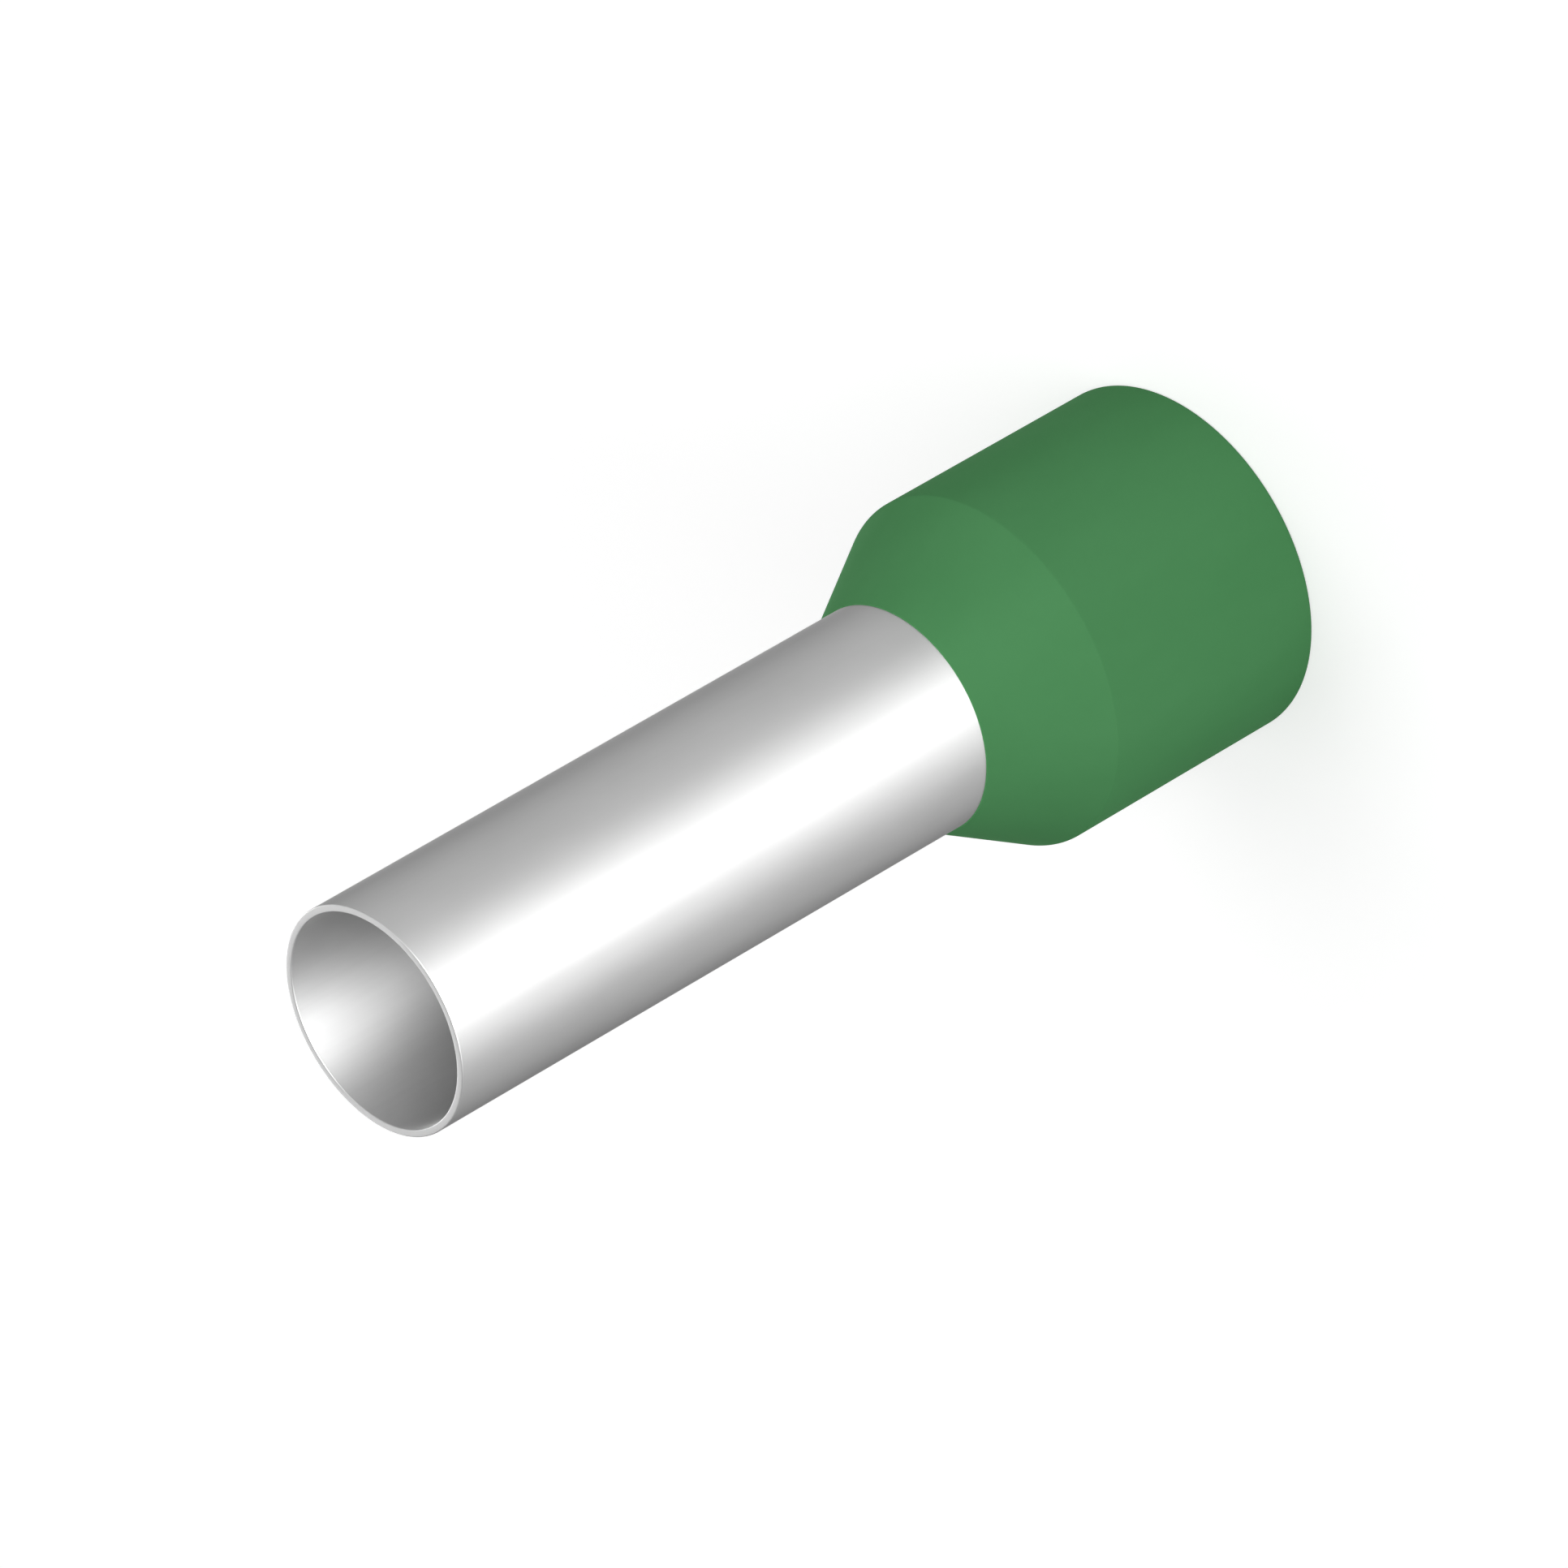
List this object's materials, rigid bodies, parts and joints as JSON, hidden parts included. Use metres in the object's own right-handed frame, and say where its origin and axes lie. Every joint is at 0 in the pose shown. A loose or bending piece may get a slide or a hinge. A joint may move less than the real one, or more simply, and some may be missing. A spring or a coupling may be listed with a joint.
{
  "type": "insulated wire ferrule",
  "caption": "Thin tinned tube with a flared end seated in a conical plastic collar, crimped on the end of a stranded wire before it goes into a terminal.",
  "frame": {"origin": "centre of the collar's mouth, which the ferrule stands on", "axes": "+Z along the axis, from the collar's mouth to the tube's open tip; X and Y are equal, because the ferrule is round"},
  "size_m": [0.0096, 0.0096, 0.028],
  "materials": {
    "tinned_copper": "satin silver tin plating on copper",
    "green_plastic": "smooth moulded plastic with a low sheen"
  },
  "bodies": {
    "root": {"metal_tube": "tinned_copper", "insulating_collar": "green_plastic"}
  },
  "joints": []
}
